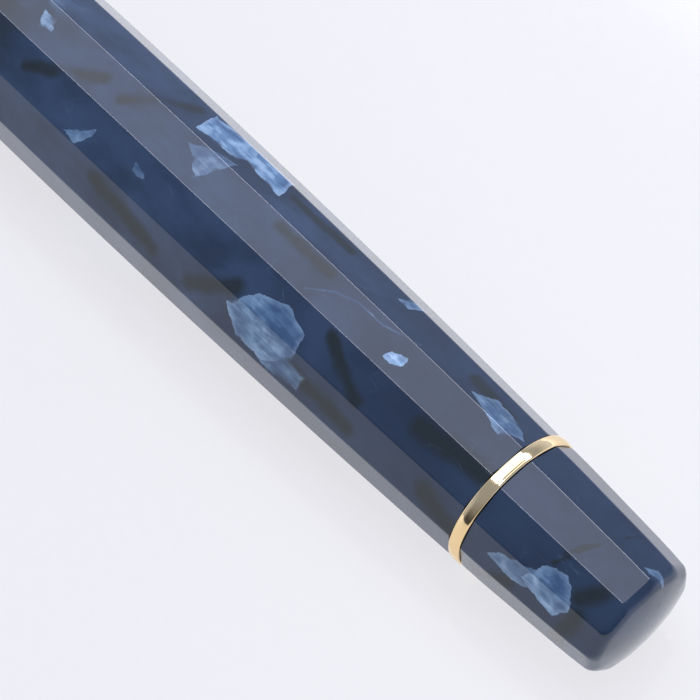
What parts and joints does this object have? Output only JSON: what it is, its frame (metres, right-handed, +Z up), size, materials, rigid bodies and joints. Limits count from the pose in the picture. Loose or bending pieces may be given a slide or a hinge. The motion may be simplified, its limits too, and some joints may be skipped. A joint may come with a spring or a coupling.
{
  "type": "fountain pen",
  "caption": "Faceted marbled celluloid fountain pen with a screw cap, a sprung roller clip, gold trim rings and a turning-knob piston filler, lying on its side.",
  "frame": {"origin": "on the table, midway along the capped pen and across it, straight below the pen's axis", "axes": "+X along the pen towards the filling knob, +Z up, +Y across; a flat of the cap band faces straight down"},
  "size_m": [0.146, 0.0144, 0.0175],
  "materials": {
    "celluloid": "polished marbled blue celluloid with pale pearly flakes and dark streaks",
    "gold": "polished pale gold plate",
    "brass": "turned brass, plain",
    "steel": "bright steel",
    "ebonite": "black hard rubber, satin",
    "amber": "clear amber celluloid",
    "nylon": "white low-friction plastic"
  },
  "bodies": {
    "barrel": {"barrel": "celluloid", "thread_collar": "gold", "ink_window": "amber", "grip_section": "celluloid", "section_ring": "gold", "nib_housing": "brass", "feed": "ebonite", "nib": "gold", "nib_tipping": "steel", "tail_ring": "gold", "piston_housing": "brass", "spindle_retainer": "brass"},
    "knob": {"piston_knob": "celluloid", "knob_spindle": "brass"},
    "piston": {"piston_rod": "steel", "piston_head": "ebonite", "piston_seal": "nylon"},
    "inner_cap": {"inner_cap": "ebonite", "inner_cap_spring": "steel"},
    "spring_seat": {"spring_seat": "nylon"},
    "cap": {"cap_shell": "celluloid", "cap_lip": "celluloid", "band_ring_front": "gold", "cap_band": "gold", "band_ring_rear": "gold", "crown_stud": "steel", "clip_collar": "gold", "crown_ring": "gold", "cap_crown": "celluloid"},
    "clip": {"clip_arm": "gold", "roller_pin": "steel"},
    "roller": {"clip_roller": "gold"}
  },
  "joints": [
    {"name": "knob_turn", "type": "hinge", "parent": "barrel", "child": "knob", "pos_m": [0.06025, 0, 0.00722], "axis": [1, 0, 0], "range_deg": [0, 1800]},
    {"name": "piston_travel", "type": "slide", "parent": "barrel", "child": "piston", "axis": [-1, 0, 0], "range_m": [0, 0.027]},
    {"name": "cap_pull", "type": "slide", "parent": "barrel", "child": "inner_cap", "axis": [-1, 0, 0], "range_m": [0, 0.065]},
    {"name": "cap_advance", "type": "slide", "parent": "inner_cap", "child": "spring_seat", "axis": [-1, 0, 0], "range_m": [0, 0.0018], "deforming": ["inner_cap_spring"]},
    {"name": "cap_turn", "type": "hinge", "parent": "spring_seat", "child": "cap", "pos_m": [-0.00105, 0, 0.00722], "axis": [-1, 0, 0], "range_deg": [0, 540]},
    {"name": "clip_flex", "type": "hinge", "parent": "cap", "child": "clip", "pos_m": [-0.0616, 0, 0.01427], "axis": [0, -1, 0], "range_deg": [0, 5], "stiffness_Nm_per_rad": 1.2},
    {"name": "roller_spin", "type": "hinge", "parent": "clip", "child": "roller", "pos_m": [-0.0221, 0, 0.0159], "axis": [0, 1, 0], "continuous": true}
  ],
  "couplings": [
    {"joint": "knob_turn", "follows": "piston_travel", "rad_per_m": 1163.5},
    {"joint": "cap_turn", "follows": "cap_advance", "rad_per_m": 5235.9}
  ]
}
